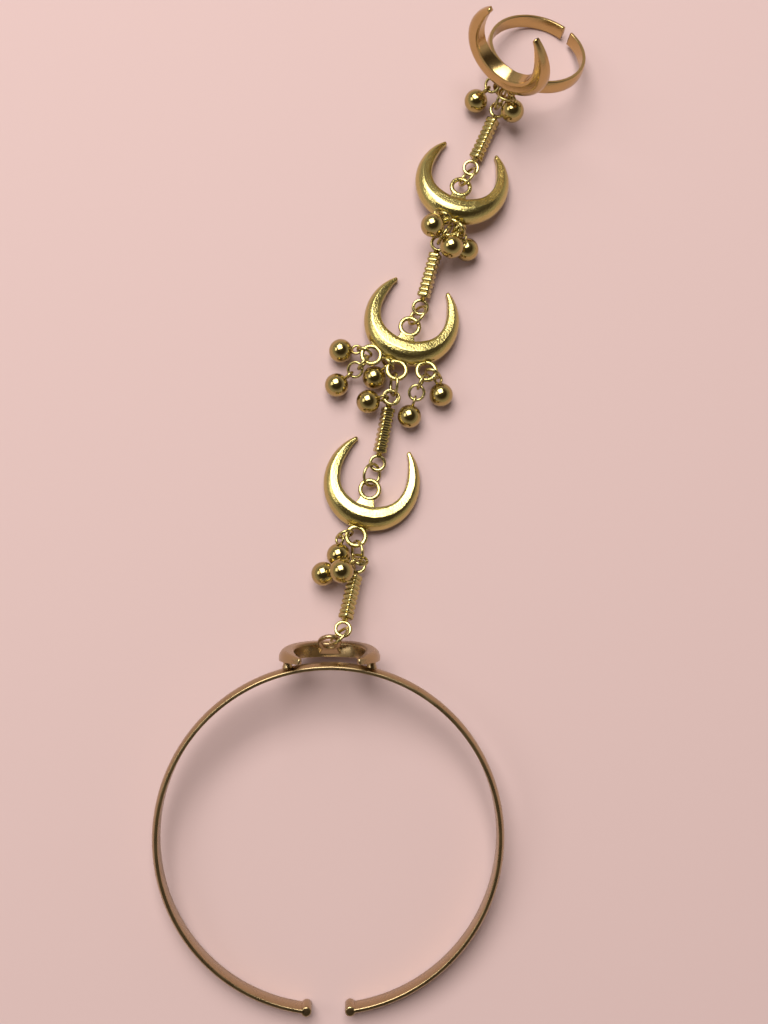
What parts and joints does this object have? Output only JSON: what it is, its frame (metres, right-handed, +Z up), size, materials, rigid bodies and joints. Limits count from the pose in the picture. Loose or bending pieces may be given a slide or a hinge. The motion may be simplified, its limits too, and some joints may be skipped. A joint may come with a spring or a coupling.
{
  "type": "hand chain bracelet",
  "caption": "Open wrist bangle joined to an open finger ring by a chain of crescents, ribbed bars and ball drops, worn over the back of the hand",
  "frame": {"origin": "Middle of the bounding box in plan, on the surface that the piece lies on", "axes": "+Y runs along the chain from the wrist bangle to the finger ring, +Z is up from the surface, +X is to the right when looking along +Y"},
  "size_m": [0.0781, 0.183, 0.0241],
  "materials": {
    "bangle_metal": "satin gold-tone plate, slightly worn",
    "ring_metal": "polished gold-tone plate",
    "crescent_metal": "satin grained gold-tone plate with antique shading",
    "bar_metal": "gold-tone plate, dark in the grooves",
    "ball_metal": "polished gold-tone plate",
    "wire_metal": "polished gold-tone wire"
  },
  "bodies": {
    "root": {"cuff_bangle": "bangle_metal", "crescent_lower": "crescent_metal", "crescent_middle": "crescent_metal", "crescent_upper": "crescent_metal", "finger_ring": "ring_metal", "bar_1": "bar_metal", "bar_2": "bar_metal", "bar_3": "bar_metal", "bar_4": "bar_metal", "link_bangle": "wire_metal", "link_bar_4": "wire_metal", "link_lower": "wire_metal", "link_bar_3": "wire_metal", "link_middle": "wire_metal", "link_bar_2": "wire_metal", "link_upper": "wire_metal", "link_bar_1": "wire_metal", "carrier_left": "wire_metal", "carrier_right": "wire_metal", "ball_1": "ball_metal", "ball_2": "ball_metal", "ball_3": "ball_metal", "ball_4": "ball_metal", "ball_5": "ball_metal", "ball_6": "ball_metal", "ball_7": "ball_metal", "ball_8": "ball_metal", "ball_9": "ball_metal", "ball_10": "ball_metal", "ball_11": "ball_metal", "ball_12": "ball_metal", "ball_13": "ball_metal", "ball_14": "ball_metal", "ball_ring_1": "wire_metal", "ball_ring_2": "wire_metal", "ball_ring_3": "wire_metal", "ball_ring_4": "wire_metal", "ball_ring_5": "wire_metal", "ball_ring_6": "wire_metal", "ball_ring_7": "wire_metal", "ball_ring_8": "wire_metal", "ball_ring_9": "wire_metal", "ball_ring_10": "wire_metal", "ball_ring_11": "wire_metal", "ball_ring_12": "wire_metal", "ball_ring_13": "wire_metal", "ball_ring_14": "wire_metal"}
  },
  "joints": []
}
